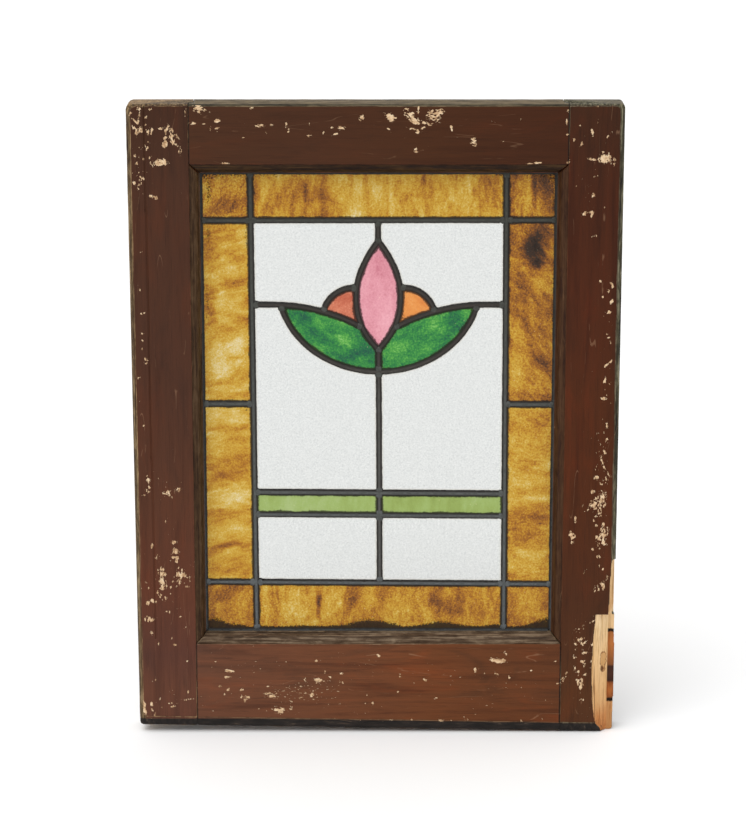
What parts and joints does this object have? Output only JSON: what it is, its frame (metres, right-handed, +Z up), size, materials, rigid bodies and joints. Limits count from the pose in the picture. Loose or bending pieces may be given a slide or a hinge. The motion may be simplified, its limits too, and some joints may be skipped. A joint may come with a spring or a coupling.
{
  "type": "leaded glass window sash",
  "caption": "Leaded panel of amber, clear, green and pink glass with a stylised tulip, held in a worn wooden sash broken at its lower right corner.",
  "frame": {"origin": "middle of the sash's underside, half way through its thickness; the underside slopes by 0.9 degrees, lower at the right", "axes": "+Z up; the front, with the moulded inner edges, faces -Y; +X to the right as seen from the front"},
  "size_m": [0.4893, 0.035, 0.6499],
  "materials": {
    "sash_wood": "worn dark red-brown varnish over softwood, chipped and scuffed to pale wood, satin",
    "bead_wood": "plain brown stained wood, matt",
    "lead": null,
    "amber_glass": "streaky amber, brown and cream opalescent glass, grimy at its edges",
    "clear_glass": "clear granular-textured glass with specks of dirt",
    "green_glass": "soft yellow-green opalescent glass",
    "leaf_glass": "mottled deep green, lime and teal art glass, rippled",
    "orange_glass": "orange to salmon art glass",
    "pink_glass": "pink art glass with fine upright streaks"
  },
  "bodies": {
    "root": {"amber_foot": "amber_glass", "amber_foot_left": "amber_glass", "amber_foot_right": "amber_glass", "amber_head": "amber_glass", "amber_head_left": "amber_glass", "amber_head_right": "amber_glass", "amber_left_lower": "amber_glass", "amber_left_upper": "amber_glass", "amber_right_lower": "amber_glass", "amber_right_upper": "amber_glass", "bead_bottom": "bead_wood", "bead_left": "bead_wood", "bead_right": "bead_wood", "bead_top": "bead_wood", "bottom_rail": "sash_wood", "came_band_divider": "lead", "came_band_lower": "lead", "came_band_upper": "lead", "came_border_left": "lead", "came_border_right": "lead", "came_bowl": "lead", "came_edge_bottom": "lead", "came_edge_left": "lead", "came_edge_right": "lead", "came_edge_top": "lead", "came_foot": "lead", "came_foot_left": "lead", "came_foot_right": "lead", "came_head": "lead", "came_head_left": "lead", "came_head_right": "lead", "came_leaf_divider": "lead", "came_leaf_left": "lead", "came_leaf_right": "lead", "came_petal_left": "lead", "came_petal_right": "lead", "came_root": "lead", "came_sepal_left": "lead", "came_sepal_right": "lead", "came_side_left": "lead", "came_side_right": "lead", "came_stem": "lead", "came_tip": "lead", "clear_bottom_left": "clear_glass", "clear_bottom_right": "clear_glass", "clear_middle_left": "clear_glass", "clear_middle_right": "clear_glass", "clear_top_left": "clear_glass", "clear_top_right": "clear_glass", "green_band_left": "green_glass", "green_band_right": "green_glass", "leaf_left": "leaf_glass", "leaf_right": "leaf_glass", "left_stile": "sash_wood", "petal": "pink_glass", "right_stile": "sash_wood", "sepal_left": "orange_glass", "sepal_right": "orange_glass", "top_rail": "sash_wood"}
  },
  "joints": []
}
